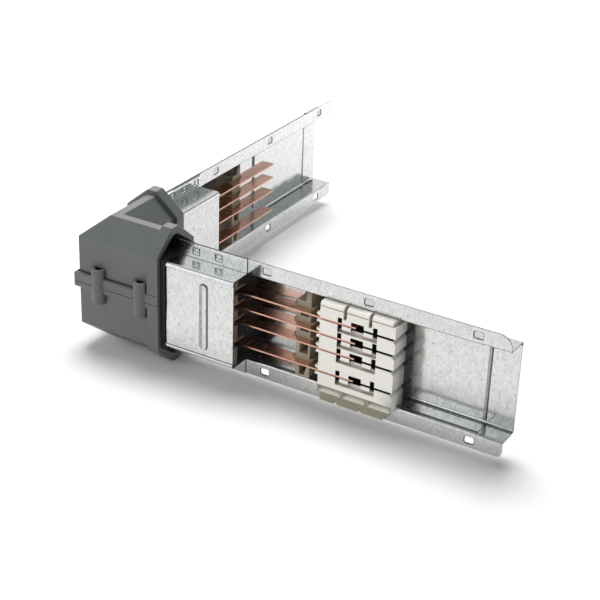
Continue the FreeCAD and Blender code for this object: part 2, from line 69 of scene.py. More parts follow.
# Ways in an arm's own frame, whose x runs out along the arm and whose front is the open side
ALONG = Vector((1, 0, 0))
FRONT = Vector((0, -1, 0))
UP = Vector((0, 0, 1))
BARS = sorted(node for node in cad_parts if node.startswith("busbar"))

# Angle below which two faces are one, those above which their edge is rounded or is a square one, the
# steepest slope beside a flat foot, and the angle at which smooth shading breaks
FLAT_ANGLE = math.radians(0.3)
EDGE_ANGLE = math.radians(25)
SQUARE_ANGLE = math.radians(60)
FOOT_ANGLE = math.radians(75)
SHADING_ANGLE = math.radians(40)
# Share of its normal that a face has towards the side that it looks to, with and without the start of a bend
STRAIGHT = 0.99
DEAD_STRAIGHT = 0.999
# How near two points are one, a point lies on a cutting plane, and a point is level with another
MERGE_REACH = 0.001 * MM
CUT_REACH = 0.0001 * MM
LEVEL_REACH = 0.1 * MM
# An edge is rounded where those beside it are longer than this many times the rounding
EDGE_ROOM = 1.2

# Material places of the folded sheets: cut edges, painted shade and painted reflection
CUT_EDGE, PAINTED_SHADE, PAINTED_REFLECTION = 1, 2, 3
# A cut edge is hardly wider than the sheet is thick, and this share of its outline is square
CUT_WIDTH = 0.85 * MM
CUT_SHARE = 0.45
# Height of the zone of the flanges and bends, how near to the flange plane the top bend lies, and how
# much of its normal a slanted flank has across the sheet
BEND_ZONE = 16 * MM
BEND_DEPTH = 3 * MM
SLANTED = (0.2, 0.97)
# Strips of the sheet, in an arm's own frame: no limit, the deep web of a long shell, the web of a cover,
# the painted reflection band and painted shade line at the step of the sleeve, the painted reflection band
# beside the bead, and the lower wall's painted line
ANYWHERE = (-1, 1)
SHELL_WEB = (15 * MM, 1)
COVER_WEB = (-1, -20 * MM)
SLEEVE_REFLECTION_BAND = (-2.8 * MM, -0.9 * MM)
SLEEVE_CREASE = (-0.9 * MM, 0.2 * MM)
BEAD_REFLECTION_BAND = (-4 * MM, -0.3 * MM)
WALL_LINE = (1.5 * MM, 4.5 * MM)
WALL_LEVEL = (10 * MM, 20 * MM)

SLOTS_PER_FLANGE = 3
# Exponent of the rounded slot outline: 2 is an ellipse, and a large one is a rectangle
SLOT_FULLNESS = 6
# Points within this many half sizes of a slot's middle are on its outline
SLOT_REACH = 1.05

# Places of the pressed joints along each arm
PRESS_JOINTS = {"a": (75 * MM, 95.3 * MM), "b": (73 * MM, 90 * MM, 107 * MM)}
# Flange that they are pressed into: its faces lie this near to the joints' level and to the flange plane
FLANGE_BAND = 6 * MM
FLANGE_DEPTH = 2 * MM
# Sloping side of a pressed joint, the ring of its floor round the button, and the cuts that each side of
# the floor gets to make the button round
JOINT_SIDE = 0.4 * MM
JOINT_RING = 0.8 * MM
JOINT_CUTS = 3
# The button's side and the two steps of its crown: how far in, and the rise as a share of the joint's depth
BUTTON_SIDE = (0.2 * MM, 0.5)
BUTTON_CROWN = ((0.4 * MM, 0.25), (0.5 * MM, 0.1))

# Walls round the joint block's dark inside, and how far that reaches over the top bar
BLOCK_FRONT_WALL = 3.7 * MM
BLOCK_BACK_WALL = 1 * MM
BLOCK_SIDE_WALL = 4 * MM
BLOCK_FLOOR = 16 * MM
BLOCK_HEADROOM = 3.2 * MM
# Where the joint block's painted shade towards the back starts and is full, from its front
BLOCK_SHADE = (3 * MM, 18 * MM)

# Lumps of the sealing strips in millimetres, what is added to their noise so that more of the lip draws
# back, and the cuts that each edge gets to follow them
SEAL_LUMP = 7
SEAL_BIAS = 0.3
SEAL_CUTS = 3

# How near another face of the same moulding has to be for painted shade in the folds, and what that painted
# shade leaves of a colour
FOLD_SHADE_REACH = 4 * MM
FOLD_SHADE_SHARES = (0.33, 0.3, 0.25)

# Sockets of the colour form of the Mix node
MIX_A, MIX_B, MIX_RESULT = 6, 7, 2

# Studio paper: half its side, and the ring about a spot before the object where it runs up into white
PAPER_HALF = 4.0
PAPER_SPOT = (-0.05, -0.3, 0)
PAPER_RING = (0.3, 1.3)
# Ways from the object to the white wall and to the broad soft light
WALL_WAY = (-0.7, 0.7, 0)
SOFT_LIGHT_WAY = (-0.7, -0.714, 0)
# Lamps: name, place, side, watts, and whether metal mirrors it. The key light isn't mirrored, because the
# level sheet would burn out where it is seen from above.
LAMPS = (
    ("key_softbox", (-0.5, 0.6, 2.6), 1.6, 77, False),
    ("front_card", (-0.75, -1.3, 0.8), 0.9, 2.4, True),
)
LAMP_TARGET = Vector((0, 0, 0.05))
# Camera fitted to edges read from the photo: its place from the crossing, its turns in radians, its lens
CAMERA_PLACE = Vector((670.5, -866.8, 596.4)) * MM
CAMERA_HEADING, CAMERA_TILT, CAMERA_ROLL = 0.5267, 0.4784, 0.0354
CAMERA_SENSOR, CAMERA_LENS = 36.0, 92.46


def linear(colour):
    """Linear RGBA of an sRGB hex colour."""
    channels = [(colour >> shift & 255) / 255 for shift in (16, 8, 0)]
    return [c / 12.92 if c <= 0.04045 else ((c + 0.055) / 1.055) ** 2.4 for c in channels] + [1.0]


def dimmed(colour, *shares):
    """A colour with its red, green and blue brought down, all to one share or each to its own."""
    return [channel * share for channel, share in zip(colour[:3], shares * 3)] + [1.0]


def length_property(name, description, millimetres):
    """A size that a user can change, given in millimetres."""
    return FloatProperty(name=name, description=description, default=millimetres * MM, unit="LENGTH")


def colour_property(name, description, colour):
    """A colour that a user can change, given as sRGB hex."""
    return FloatVectorProperty(
        name=name, description=description, default=linear(colour), size=4, subtype="COLOR", min=0, max=1
    )


class ElbowSizes(PropertyGroup):
    """Softness of the edges, and the sizes and places of slots, pressed joints and marks"""

    bar_edge: length_property("Bar edge", "Rounding of the drawn copper edges", 0.3)
    carrier_edge: length_property("Carrier edge", "Rounding of the spacers and combs", 0.3)
    # Painted shade: the comb's deep faces are near-black
    comb_shade_depth: length_property("Comb depth", "How deep the comb's black plate lies", 7.0)
    block_edge: length_property("Block edge", "Rounding of the joint block's edges", 0.4)
    # Painted shade with a yellower tone on the joint block's skirt and lip
    skirt_height: length_property("Skirt height", "Height of the joint block's yellower skirt and lip", 15.6)
    block_face: length_property("Block face", "Depth of the joint block's white front part", 17.5)
    housing_edge: length_property("Housing edge", "Rounding of the corner housing's edges", 1.4)
    foot_edge: length_property("Foot edge", "Rounding at the low corners of the collars", 4.0)
    slot_length: length_property("Slot length", "Flange slot, along the arm", 7.0)
    slot_width: length_property("Slot width", "Flange slot, upwards", 5.0)
    slot_setback: length_property("Slot setback", "Last slot from the end of the arm", 25.5)
    slot_pitch: length_property("Slot pitch", "From slot to slot along the arm", 86.0)
    slot_level: length_property("Slot level", "Slots from the flange edge", 5.875)
    slot_roll: length_property("Slot roll", "Rolled rim of a punched slot", 0.6)
    sleeve_station: length_property("Sleeve station", "Step of the sleeve along the arm", 314.0)
    bead_station: length_property("Bead station", "Middle of the cover's bead along the arm", 94.0)
    joint_width: length_property("Press joint width", "Pressed joint in a cover flange, along the arm", 7.0)
    joint_level: length_property("Press joint level", "Pressed joints from the upper flange edge", 6.0)
    joint_height: length_property("Press joint height", "Pressed joint in a cover flange, upwards", 6.2)
    joint_depth: length_property("Press joint depth", "How deep a joint is pressed into the sheet", 0.7)
    joint_button: length_property("Press joint button", "Round button in the middle of a joint", 3.8)
    seal_edge: length_property("Seal edge", "Rounding of the sealing strips", 0.3)
    seal_lip: length_property("Seal lip", "Depth of the seal's squeezed edge", 1.5)
    seal_wander: length_property("Seal wander", "How far the seal's squeezed edge wanders", 0.9)


class ElbowColours(PropertyGroup):
    """Base colours of the finishes"""

    steel: colour_property("Steel", "Zinc coating", 0xDCDCDB)
    steel_crystal: colour_property("Steel crystal", "Darker zinc crystals", 0xC6C7C7)
    # Painted shade: the dark zinc of the shaded lines and flanks
    zinc_painted_shade: colour_property("Stretched zinc", "Zinc drawn thin over a pressed flank", 0x8C8D8C)
    # Painted reflection: the duller zinc of the bands beside the bead and the sleeve's step
    zinc_painted_reflection: colour_property("Rubbed zinc", "Duller zinc beside a bead or a step", 0xC0BFBA)
    sheared_edge: colour_property("Sheared edge", "Bare steel where the sheet was cut", 0x5C5E60)
    copper: colour_property("Copper", "Bare copper", 0xEBBFAB)
    copper_edge: colour_property("Copper edge", "Duller narrow edges of the bars", 0xCEA08B)
    copper_tarnish: colour_property("Copper tarnish", "Dulled copper", 0xC08A74)
    housing: colour_property("Housing", "Corner housing plastic", 0x636666)
    # Painted light on the housing's level tops
    painted_top_light: colour_property("Film", "Pale film on the housing's level tops", 0x9C9793)
    block: colour_property("Block", "Joint block plastic", 0xFAF7EF)
    # Painted shade of the joint block towards the back
    block_shade: colour_property("Block shade", "Darker tone of the joint block towards the back", 0x6F6B60)
    # Yellower tone and painted shade of the joint block's skirt and lip
    lip: colour_property("Lip", "Yellower plastic of the joint block's skirt and lip", 0xA09A86)
    # Near-black of painted deep shade in the joint block and the comb; in the block it also stands for the
    # carriers of the contacts
    deep_black: colour_property("Contact carrier", "Dark inside of the joint block", 0x0E0E0F)
    spacer: colour_property("Spacer", "Bar spacer plastic", 0xABA28F)
    comb: colour_property("Comb", "Mouth comb plastic", 0x8A7D72)
    seal: colour_property("Seal", "Sealing strip", 0x18181A)
    floor: colour_property("Floor", "Studio floor", 0xFFFFFF)
    room: colour_property("Room", "Dim room above the studio paper", 0xADB4B6)
    soft_light: colour_property("Soft light", "Broad soft light", 0xF4F4F4)


def add_node(tree, kind, inputs=None, **settings):
    """Add a node, set its properties, and give each input a value or a link."""
    node = tree.nodes.new(kind)
    for name, value in settings.items():
        setattr(node, name, value)
    for name, value in (inputs or {}).items():
        if isinstance(value, bpy.types.NodeSocket):
            tree.links.new(value, node.inputs[name])
        else:
            node.inputs[name].default_value = value
    return node


def new_material(name):
    """A material with an empty tree, its shader, and coordinates in metres on the object."""
    material = bpy.data.materials.new(name)
    material.use_nodes = True
    tree = material.node_tree
    tree.nodes.clear()
    shader = add_node(tree, "ShaderNodeBsdfPrincipled")
    add_node(tree, "ShaderNodeOutputMaterial", {"Surface": shader.outputs["BSDF"]})
    place = add_node(tree, "ShaderNodeTexCoord").outputs["Object"]
    return material, tree, shader, place


def per_metre(millimetres):
    """Texture scale that repeats once in a length."""
    return 1 / MM / millimetres


def galvanised_steel(colours):
    # Hot-dip galvanised sheet, skin-passed after the bath: nearly a mirror but not quite flat, with
    # small zinc crystals that differ a little in tone, and short dull flecks drawn out down the sheet.
    # The flecks are drawn about twice their real size so that they show.
    material, tree, shader, place = new_material("galvanised_steel_skin_passed")
    drawn = add_node(
        tree, "ShaderNodeMapping", {"Vector": place, "Scale": (1, 1, 0.6)}
    ).outputs["Vector"]
    crystal = add_node(
        tree, "ShaderNodeTexVoronoi", {"Vector": drawn, "Scale": per_metre(1.8)}
    ).outputs["Color"]
    fleck = add_node(
        tree, "ShaderNodeTexNoise",
        {"Vector": drawn, "Scale": per_metre(1.3), "Detail": 2.0, "Roughness": 0.6},
    ).outputs["Fac"]
    cloud = add_node(
        tree, "ShaderNodeTexNoise", {"Vector": place, "Scale": per_metre(40), "Detail": 3.0}
    ).outputs["Fac"]
    dull = add_node(
        tree, "ShaderNodeMapRange", {"Value": fleck, "From Min": 0.58, "From Max": 0.72}
    ).outputs["Result"]
    tone = add_node(
        tree, "ShaderNodeMix",
        {"Factor": crystal, MIX_A: colours.steel, MIX_B: colours.steel_crystal},
        data_type="RGBA",
    ).outputs[MIX_RESULT]
    base = add_node(
        tree, "ShaderNodeMix",
        {"Factor": dull, MIX_A: tone, MIX_B: dimmed(colours.steel_crystal, 0.72)},
        data_type="RGBA",
    ).outputs[MIX_RESULT]
    satin = add_node(
        tree, "ShaderNodeMapRange", {"Value": cloud, "To Min": 0.1, "To Max": 0.22}
    ).outputs["Result"]
    rough = add_node(
        tree, "ShaderNodeMath", {0: dull, 1: 0.2, 2: satin}, operation="MULTIPLY_ADD"
    ).outputs["Value"]
    wave = add_node(
        tree, "ShaderNodeTexNoise", {"Vector": place, "Scale": per_metre(24), "Detail": 1.0}
    ).outputs["Fac"]
    waved = add_node(
        tree, "ShaderNodeBump", {"Height": wave, "Strength": 1.0, "Distance": 0.35 * MM}
    ).outputs["Normal"]
    bump = add_node(
        tree, "ShaderNodeBump",
        {"Height": fleck, "Strength": 0.06, "Distance": 0.06 * MM, "Normal": waved},
    ).outputs["Normal"]
    tree.links.new(base, shader.inputs["Base Color"])
    tree.links.new(rough, shader.inputs["Roughness"])
    tree.links.new(bump, shader.inputs["Normal"])
    shader.inputs["Metallic"].default_value = 1.0
    return material


def worked_steel(name, colour):
    # Steel that the shear or the press has torn and smeared, and the duller zinc that paints shade and
    # reflection on the sheet:
    # grey, dull and streaked. The streaks are drawn coarser than real ones so that they show.
    material, tree, shader, place = new_material(name)
    tear = add_node(
        tree, "ShaderNodeTexNoise", {"Vector": place, "Scale": per_metre(2.5), "Detail": 3.0}
    ).outputs["Fac"]
    base = add_node(
        tree, "ShaderNodeMix",
        {"Factor": tear, MIX_A: colour, MIX_B: dimmed(colour, 0.5)},
        data_type="RGBA",
    ).outputs[MIX_RESULT]
    rough = add_node(
        tree, "ShaderNodeMapRange", {"Value": tear, "To Min": 0.4, "To Max": 0.65}
    ).outputs["Result"]
    tree.links.new(base, shader.inputs["Base Color"])
    tree.links.new(rough, shader.inputs["Roughness"])
    shader.inputs["Metallic"].default_value = 1.0
    return material


def bare_copper(name, colour, tarnish):
    # Drawn copper bar left bare: salmon metal with a soft gloss, dulled brown in slow clouds. Its grain
    # is drawn coarser than the real one so that it shows.
    material, tree, shader, place = new_material(name)
    cloud = add_node(
        tree, "ShaderNodeTexNoise", {"Vector": place, "Scale": per_metre(18), "Detail": 4.0}
    ).outputs["Fac"]
    grain = add_node(
        tree, "ShaderNodeTexNoise", {"Vector": place, "Scale": per_metre(0.9), "Detail": 2.0}
    ).outputs["Fac"]
    share = add_node(
        tree, "ShaderNodeMapRange", {"Value": cloud, "From Min": 0.4, "From Max": 0.8, "To Max": 0.6}
    ).outputs["Result"]
    base = add_node(
        tree, "ShaderNodeMix",
        {"Factor": share, MIX_A: colour, MIX_B: tarnish},
        data_type="RGBA",
    ).outputs[MIX_RESULT]
    rough = add_node(
        tree, "ShaderNodeMapRange", {"Value": cloud, "To Min": 0.16, "To Max": 0.34}
    ).outputs["Result"]
    bump = add_node(
        tree, "ShaderNodeBump", {"Height": grain, "Strength": 0.08, "Distance": 0.05 * MM}
    ).outputs["Normal"]
    tree.links.new(base, shader.inputs["Base Color"])
    tree.links.new(rough, shader.inputs["Roughness"])
    tree.links.new(bump, shader.inputs["Normal"])
    shader.inputs["Metallic"].default_value = 1.0
    return material


def moulded_plastic(name, colour, grain, roughness, shade, fold_shade=0.75):
    # Injection-moulded plastic from a spark-eroded tool: an even matt grain that breaks up the gloss,
    # a faint change of tone where the melt cooled, and brown-grey painted shade where the moulding folds
    # inwards.
    # The grain is drawn several times its real size so that it shows.
    material, tree, shader, place = new_material(name)
    cloud = add_node(
        tree, "ShaderNodeTexNoise", {"Vector": place, "Scale": per_metre(22), "Detail": 3.0}
    ).outputs["Fac"]
    pit = add_node(
        tree, "ShaderNodeTexNoise", {"Vector": place, "Scale": per_metre(grain), "Detail": 2.0}
    ).outputs["Fac"]
    darker = dimmed(colour, shade)
    tone = add_node(
        tree, "ShaderNodeMix", {"Factor": cloud, MIX_A: colour, MIX_B: darker}, data_type="RGBA"
    ).outputs[MIX_RESULT]
    # Painted shade: ambient occlusion darkens the colour in the moulding's folds
    open_share = add_node(
        tree, "ShaderNodeAmbientOcclusion", {"Distance": FOLD_SHADE_REACH}, samples=8, only_local=True
    ).outputs["AO"]
    painted_fold_shade = add_node(
        tree, "ShaderNodeMapRange",
        {"Value": open_share, "From Min": 0.3, "From Max": 0.85, "To Min": fold_shade, "To Max": 0.0},
    ).outputs["Result"]
    fold_shaded = dimmed(colour, *FOLD_SHADE_SHARES)
    base = add_node(
        tree, "ShaderNodeMix", {"Factor": painted_fold_shade, MIX_A: tone, MIX_B: fold_shaded}, data_type="RGBA"
    ).outputs[MIX_RESULT]
    rough = add_node(
        tree, "ShaderNodeMapRange", {"Value": pit, "To Min": roughness - 0.1, "To Max": roughness + 0.1}
    ).outputs["Result"]
    bump = add_node(
        tree, "ShaderNodeBump", {"Height": pit, "Strength": 0.15, "Distance": 0.08 * MM}
    ).outputs["Normal"]
    tree.links.new(base, shader.inputs["Base Color"])
    tree.links.new(rough, shader.inputs["Roughness"])
    tree.links.new(bump, shader.inputs["Normal"])
    shader.inputs["IOR"].default_value = 1.5
    return material


def tinted(material, output, axis, low, high, most, tint):
    """Lay a tint over a material's colour as one coordinate climbs between two limits."""
    tree = material.node_tree
    shader = tree.nodes["Principled BSDF"]
    under = shader.inputs["Base Color"].links[0].from_socket
    vector = add_node(tree, "ShaderNodeTexCoord").outputs[output]
    value = add_node(tree, "ShaderNodeSeparateXYZ", {0: vector}).outputs[axis]
    share = add_node(
        tree, "ShaderNodeMapRange",
        {"Value": value, "From Min": low, "From Max": high, "To Max": most},
        interpolation_type="SMOOTHSTEP",
    ).outputs["Result"]
    base = add_node(
        tree, "ShaderNodeMix", {"Factor": share, MIX_A: under, MIX_B: tint}, data_type="RGBA"
    ).outputs[MIX_RESULT]
    tree.links.new(base, shader.inputs["Base Color"])


def seal_rubber(colours):
    # Soft black sealing compound squeezed out of a gap: dull, slightly lumpy.
    return moulded_plastic("seal_rubber_black", colours.seal, grain=1.8, roughness=0.75, shade=0.7)


def copied(node, arm):
    """A copy of a solid in its arm's own frame, with its triangles joined into whole faces."""
    shape = bmesh.new()
    shape.from_mesh(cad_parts[node].data)
    bmesh.ops.remove_doubles(shape, verts=shape.verts, dist=MERGE_REACH)
    bmesh.ops.dissolve_limit(
        shape, angle_limit=FLAT_ANGLE, verts=shape.verts, edges=shape.edges, delimit={"NORMAL"}
    )
    shape.transform(ARMS[arm].inverted())
    shape.normal_update()
    return shape


def bevel_edges(shape, edges, offset, segments, clamp=True):
    """Bevel some edges of a shape, and give the new faces."""
    return bmesh.ops.bevel(
        shape, geom=edges, offset=offset, offset_type="OFFSET", segments=segments,
        profile=0.5, affect="EDGES", clamp_overlap=clamp, material=-1,
    )["faces"]


def cut_faces(shape, faces, place, way):
    """Cut some faces of a shape in two where a plane crosses them."""
    edges = [edge for face in faces for edge in face.edges]
    verts = [vert for face in faces for vert in face.verts]
    geometry = list(dict.fromkeys([*verts, *edges, *faces]))
    bmesh.ops.bisect_plane(shape, geom=geometry, dist=CUT_REACH, plane_co=place, plane_no=way)


def soften_edges(shape, radius, segments=2):
    """Round a shape's sharp edges wherever the faces beside them leave room."""
    corners = [
        edge for edge in shape.edges
        if edge.is_manifold and edge.calc_face_angle() > EDGE_ANGLE
        and all(
            other.calc_length() > EDGE_ROOM * radius for vert in edge.verts for other in vert.link_edges
        )
    ]
    bevel_edges(shape, corners, radius, segments)


def softened(node, arm, radius):
    """A copy of a solid with softened edges."""
    shape = copied(node, arm)
    soften_edges(shape, radius)
    return shape


def round_feet(shape, radius):
    """Round the low corners of the collars, between their flat feet and the slopes beside them."""
    low = min(vert.co.z for vert in shape.verts)
    corners = [
        edge for edge in shape.edges
        if all(vert.co.z < low + LEVEL_REACH for vert in edge.verts)
        and EDGE_ANGLE < edge.calc_face_angle() < FOOT_ANGLE
    ]
    bevel_edges(shape, corners, radius, segments=6)


def folded_sheet(node, arm):
    """A copy of a half shell, with its cut edges marked for their finish and painted shade on its bead
    flanks and top bend.
    """
    shape = copied(node, arm)
    low, top = (pick(vert.co.z for vert in shape.verts) for pick in (min, max))
    for face in shape.faces:
        outline = face.calc_perimeter()
        width = 2 * face.calc_area() / outline
        square = sum(
            edge.calc_length() for edge in face.edges
            if edge.is_manifold and edge.calc_face_angle() > SQUARE_ANGLE
        )
        middle = face.calc_center_median()
        slant = SLANTED[0] < abs(face.normal.y) < SLANTED[1]
        clear_of_bends = low + BEND_ZONE < middle.z < top - BEND_ZONE
        top_bend = middle.z > top - BEND_ZONE and abs(middle.y) < BEND_DEPTH and face.normal.y < 0
        # Thin square faces are cut edges; slanted flanks and the top bend get painted shade
        if square > CUT_SHARE * outline and width < CUT_WIDTH:
            face.material_index = CUT_EDGE
        elif slant and (clear_of_bends or top_bend):
            face.material_index = PAINTED_SHADE
    return shape


def mark_strip(shape, finish, facing, x=ANYWHERE, y=ANYWHERE, z=ANYWHERE):
    """Give a finish to the part of a sheet's plain faces that faces one way and lies in a box."""
    low, high = zip(x, y, z)
    depth = [axis for axis in range(3) if facing[axis]]
    across = [axis for axis in range(3) if not facing[axis]]

    def plain_faces(axes):
        return [
            face for face in shape.faces
            if face.material_index == 0 and face.normal.dot(facing) > STRAIGHT
            and all(low[axis] < face.calc_center_median()[axis] < high[axis] for axis in axes)
        ]

    for axis in across:
        for limit in (low[axis], high[axis]):
            place, way = Vector(), Vector()
            place[axis], way[axis] = limit, 1
            cut_faces(shape, plain_faces(depth), place, way)
    for face in plain_faces(range(3)):
        face.material_index = finish


def square_slots(shape, sizes):
    """Draw the round ends of the flange slots out into the fuller corners that the punch leaves."""
    end, top = (max(vert.co[axis] for vert in shape.verts) for axis in (0, 2))
    half_length, half_width = sizes.slot_length / 2, sizes.slot_width / 2
    rim = set()
    for step in range(SLOTS_PER_FLANGE):
        along = end - sizes.slot_setback - sizes.slot_pitch * step
        for level in (sizes.slot_level, top - sizes.slot_level):
            for vert in shape.verts:
                across, up = (vert.co.x - along) / half_length, (vert.co.z - level) / half_width
                if max(abs(across), abs(up)) < SLOT_REACH:
                    reach = sum(abs(part) ** SLOT_FULLNESS for part in (across, up)) ** (1 / SLOT_FULLNESS)
                    vert.co.x = along + across / reach * half_length
                    vert.co.z = level + up / reach * half_width
                    rim.add(vert)
    # The punch rolls the front edge in, drawn about twice its real width so that it shows
    shape.normal_update()
    edges = [
        edge for edge in shape.edges
        if rim.issuperset(edge.verts) and edge.calc_face_angle() > SQUARE_ANGLE
        and any(face.normal.dot(FRONT) > STRAIGHT for face in edge.link_faces)
    ]
    # The rolled rim takes the dark cut-edge finish: bare steel, and painted shade that outlines the slot
    for face in bevel_edges(shape, edges, sizes.slot_roll, segments=1, clamp=False):
        face.material_index = CUT_EDGE


def finish_piece(shape, node, arm, slot, *materials):
    """Turn a shape into a piece that stands for its solid."""
    shape.transform(ARMS[arm])
    mesh = bpy.data.meshes.new(f"{node}_finished")
    shape.to_mesh(mesh)
    shape.free()
    for material in materials:
        mesh.materials.append(material)
    mesh.shade_smooth()
    mesh.set_sharp_from_angle(angle=SHADING_ANGLE)
    piece = bpy.data.objects.new(f"{node}_finished", mesh)
    bpy.context.scene.collection.objects.link(piece)
    piece.modifiers.new("even_shading", "WEIGHTED_NORMAL").keep_sharp = True
    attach(piece, "root")
    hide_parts(node)


def press_joint(shape, x, z, sizes):
    """Press one square joint with a round button into the front of a cover flange."""
    half = Vector((sizes.joint_width / 2, 0, sizes.joint_height / 2))
    middle = Vector((x, 0, z))

    def flange_fronts():
        return [
            face for face in shape.faces
            if face.normal.dot(FRONT) > DEAD_STRAIGHT and face.calc_center_median().y > -FLANGE_DEPTH
        ]

    def centre_face():
        return min(flange_fronts(), key=lambda face: (face.calc_center_median() - middle).xz.length)

    def inset(thickness, depth):
        return bmesh.ops.inset_region(
            shape, faces=[centre_face()], thickness=thickness, depth=depth, use_even_offset=True
        )["faces"]

    for axis in (ALONG, UP):
        for way in (-1, 1):
            band = [f for f in flange_fronts() if abs(f.calc_center_median().z - z) < FLANGE_BAND]
            cut_faces(shape, band, middle + half * way, axis)
    # Painted shade: the joint's sloping sides take the dark finish
    for side in inset(JOINT_SIDE, -sizes.joint_depth):
        side.material_index = PAINTED_SHADE
    # The button: the floor's outline gets more points, which an inset carries in and a circle takes up
    bmesh.ops.subdivide_edges(shape, edges=centre_face().edges, cuts=JOINT_CUTS)
    inset(JOINT_RING, 0)
    for vert in centre_face().verts:
        out = (vert.co - middle).xz.normalized() * sizes.joint_button / 2
        vert.co.x, vert.co.z = middle.x + out.x, middle.z + out.y
    inwards, rise = BUTTON_SIDE
    # Painted shade on the button's side
    for side in inset(inwards, rise * sizes.joint_depth):
        side.material_index = PAINTED_SHADE
    for inwards, rise in BUTTON_CROWN:
        inset(inwards, rise * sizes.joint_depth)


class ELBOW_OT_half_shells(Operator):
    """Finish the four folded half shells and press the joints of the two covers"""

    bl_idname = "elbow.half_shells"
    bl_label = "Half shells"

    def execute(self, context):
        colours = context.scene.elbow_colours
        finishes = (
            galvanised_steel(colours),
            worked_steel("sheared_steel_edge", colours.sheared_edge),
            worked_steel("zinc_painted_shade_line", colours.zinc_painted_shade),
            worked_steel("zinc_painted_reflection", colours.zinc_painted_reflection),
        )
        for arm in ARMS:
            self.finish_shell(arm, context.scene.elbow_sizes, finishes)
            self.finish_cover(arm, context.scene.elbow_sizes, finishes)
        return {"FINISHED"}

    def finish_shell(self, arm, sizes, finishes):
        node = f"arm_{arm}_long_shell"
        shell = folded_sheet(node, arm)
        square_slots(shell, sizes)
        sleeve = sizes.sleeve_station
        # A painted reflection band and a painted shade line at the step of the sleeve
        for finish, strip in ((PAINTED_REFLECTION, SLEEVE_REFLECTION_BAND), (PAINTED_SHADE, SLEEVE_CREASE)):
            mark_strip(shell, finish, FRONT, x=[sleeve + limit for limit in strip], y=SHELL_WEB)
        # A painted dark line along the lower wall, standing in for a reflection, shows on this arm alone
        if arm == "a":
            mark_strip(shell, PAINTED_SHADE, UP, x=(0, sleeve), y=WALL_LINE, z=WALL_LEVEL)
        finish_piece(shell, node, arm, "galvanised_steel", *finishes)

    def finish_cover(self, arm, sizes, finishes):
        node = f"arm_{arm}_cover"
        cover = folded_sheet(node, arm)
        # The bead is on this arm's cover alone, with a painted reflection band beside it
        if arm == "a":
            strip = [sizes.bead_station + limit for limit in BEAD_REFLECTION_BAND]
            mark_strip(cover, PAINTED_REFLECTION, FRONT, x=strip, y=COVER_WEB)
        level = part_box("arm_a_long_shell")[1].z - CROSSING.z - sizes.joint_level
        for along in PRESS_JOINTS[arm]:
            press_joint(cover, along, level, sizes)
        finish_piece(cover, node, arm, "galvanised_steel", *finishes)


class ELBOW_OT_bars(Operator):
    """Finish the four copper bars"""

    bl_idname = "elbow.bars"
    bl_label = "Copper bars"

    def execute(self, context):
        sizes, colours = context.scene.elbow_sizes, context.scene.elbow_colours
        flat = bare_copper("bare_drawn_copper", colours.copper, colours.copper_tarnish)
        edge = bare_copper("bare_copper_dulled_edge", colours.copper_edge, colours.copper_tarnish)
        for node in BARS:
            shape = softened(node, "a", sizes.bar_edge)
            for face in shape.faces:
                upright = abs(face.normal.z) < 0.5
                face.material_index = 1 if upright else 0
            finish_piece(shape, node, "a", "copper", flat, edge)
        return {"FINISHED"}


class ELBOW_OT_carriers(Operator):
    """Finish the bar spacers and the combs in the box mouths"""

    bl_idname = "elbow.carriers"
    bl_label = "Bar carriers"

    def execute(self, context):
        sizes, colours = context.scene.elbow_sizes, context.scene.elbow_colours
        spacer = moulded_plastic(
            "spacer_polyamide_matt", colours.spacer, grain=0.9, roughness=0.55, shade=0.85
        )
        comb = moulded_plastic("comb_polyamide_brown", colours.comb, grain=0.9, roughness=0.5, shade=0.8)
        plate = moulded_plastic("comb_plate_painted_shade_black", colours.deep_black, grain=0.9, roughness=0.6, shade=0.8)
        for arm in ARMS:
            node = f"arm_{arm}_bar_spacer"
            finish_piece(softened(node, arm, sizes.carrier_edge), node, arm, "spacer_plastic", spacer)
            node = f"arm_{arm}_mouth_comb"
            shape = softened(node, arm, sizes.carrier_edge)
            mouth = max(vert.co.x for vert in shape.verts)
            # Painted deep shade: faces deeper than this from the mouth take near-black
            for face in shape.faces:
                face.material_index = 1 if face.calc_center_median().x < mouth - sizes.comb_shade_depth else 0
            finish_piece(shape, node, arm, "comb_plastic", comb, plate)
        return {"FINISHED"}


